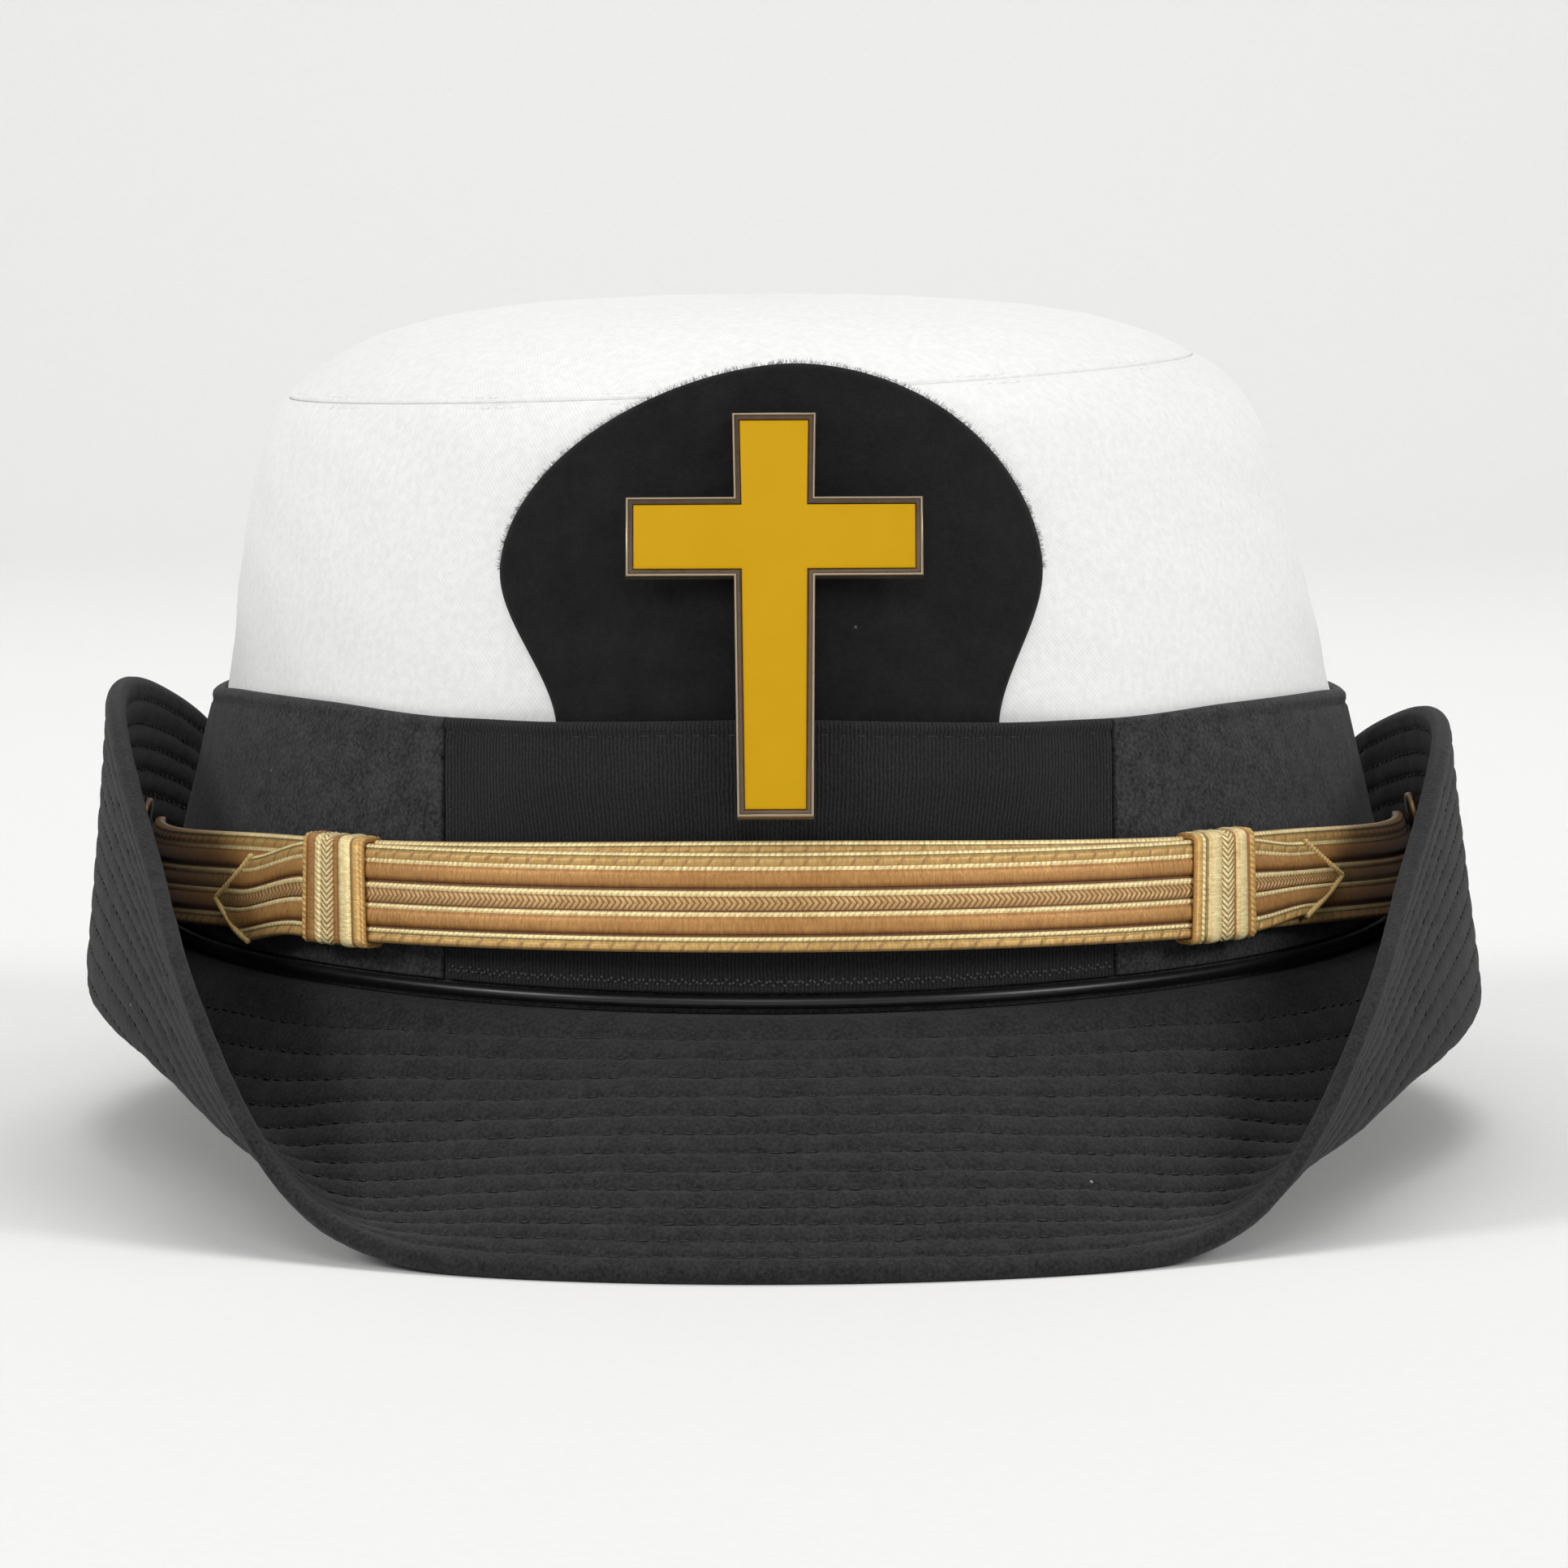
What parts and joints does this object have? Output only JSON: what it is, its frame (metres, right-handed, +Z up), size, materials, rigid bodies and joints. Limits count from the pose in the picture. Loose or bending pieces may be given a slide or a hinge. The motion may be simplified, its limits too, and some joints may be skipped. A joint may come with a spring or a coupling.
{
  "type": "women's uniform cap",
  "caption": "Women's uniform cap: white cloth crown, black band, brim rolled up at both sides, gold-lace chin strap and an enamelled cross on a felt tab.",
  "frame": {"origin": "on the surface that the brim stands on, under the middle of the cap's overall box", "axes": "+Z up; -Y towards the front, where the cross is; +X to the right of someone who looks at the front"},
  "size_m": [0.1875, 0.2841, 0.1112],
  "materials": {
    "white_twill": "finely woven white cotton and polyester, matt",
    "black_wool": "plain black wool cloth, matt",
    "ribbed_band": "black braid with fine upright ribs, matt",
    "patent_piping": "black coated piping, glossy",
    "black_felt": "black felt, matt",
    "bronze": "darkened bronze, satin",
    "yellow_enamel": "fired enamel, flat and glossy",
    "gold_lace": "gold wire lace with cream and copper stripes",
    "dark_bronze": "dark bronze, satin"
  },
  "bodies": {
    "root": {"crown_side": "white_twill", "crown_top": "white_twill", "band_side": "black_wool", "band_front": "ribbed_band", "band_welt": "patent_piping", "brim": "black_wool", "device_tab": "black_felt", "cross_frame": "bronze", "cross_enamel": "yellow_enamel", "chin_strap_rear": "gold_lace", "chin_strap_front": "gold_lace", "slide_left": "gold_lace", "slide_right": "gold_lace", "button_left": "dark_bronze", "button_right": "dark_bronze"}
  },
  "joints": []
}
